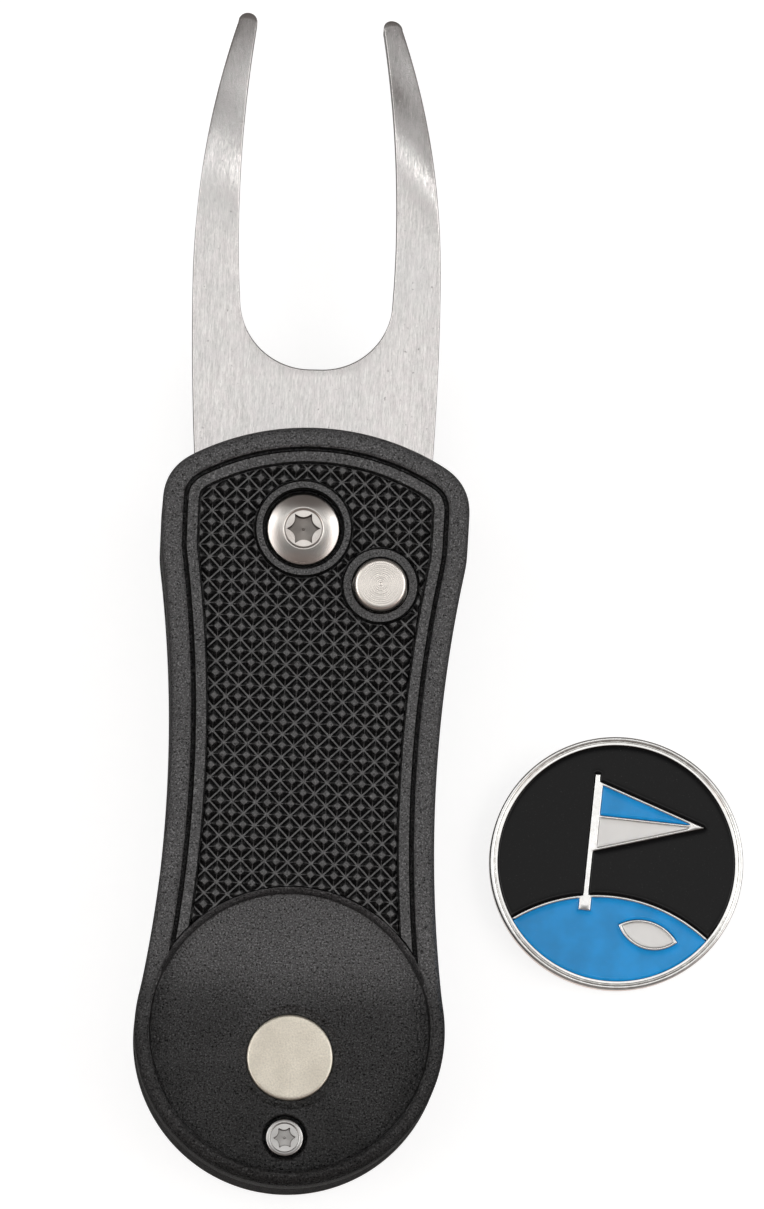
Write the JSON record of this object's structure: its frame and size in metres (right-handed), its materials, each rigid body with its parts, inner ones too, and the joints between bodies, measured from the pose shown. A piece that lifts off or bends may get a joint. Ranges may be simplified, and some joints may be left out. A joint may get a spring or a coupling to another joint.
{
  "type": "divot repair tool",
  "caption": "Folding divot repair tool: a two-prong steel fork swings out of a slim textured handle and locks; a round magnetic seat holds a ball marker.",
  "frame": {"origin": "on the fork pivot's axis, in the plane of the back face the tool rests on", "axes": "+Z out of the front face, where the marker seat is; +Y along the handle to the fork tips; +X to the right, the closed side of the handle"},
  "size_m": [0.059, 0.1171, 0.0134],
  "materials": {
    "shell_black": "fine-grained matt moulding",
    "grip_black": "satin moulding with small diamonds",
    "fork_steel": "brushed along the prongs",
    "screw_steel": "turned, bright",
    "plated": "warm nickel plate",
    "liner_steel": "rolled sheet",
    "spring_steel": "drawn wire",
    "brass": "turned",
    "coin_metal": "polished nickel plate",
    "enamel_black": "soft enamel",
    "enamel_blue": "soft enamel",
    "enamel_white": "soft enamel"
  },
  "bodies": {
    "handle": {"front_shell": "shell_black", "front_grip": "grip_black", "back_shell": "shell_black", "back_grip": "grip_black", "spine_spacer": "shell_black", "front_liner": "liner_steel", "back_liner": "liner_steel", "pivot_screw": "screw_steel", "pivot_barrel": "screw_steel", "pivot_washers": "brass", "spring_bush": "brass", "torsion_spring": "spring_steel", "button_spring": "spring_steel", "magnet": "plated", "base_screw": "screw_steel", "base_insert": "brass", "dowel_pins": "screw_steel"},
    "fork": {"fork": "fork_steel"},
    "button": {"lock_button": "plated", "lock_collar": "screw_steel"},
    "marker": {"marker_coin": "coin_metal", "marker_enamel_black": "enamel_black", "marker_enamel_blue": "enamel_blue", "marker_enamel_white": "enamel_white"}
  },
  "joints": [
    {"name": "fork_hinge", "type": "hinge", "parent": "handle", "child": "fork", "pos_m": [0, 0, 0.0066], "axis": [0, 0, 1], "range_deg": [0, 180], "stiffness_Nm_per_rad": 0.008, "deforming": ["torsion_spring"]},
    {"name": "button_press", "type": "slide", "parent": "handle", "child": "button", "axis": [0, 0, -1], "range_m": [0, 0.001], "stiffness_N_per_m": 600, "deforming": ["button_spring"]},
    {"name": "marker_lift", "type": "slide", "parent": "handle", "child": "marker", "axis": [0, 0, 1], "range_m": [0, 0.015]}
  ]
}
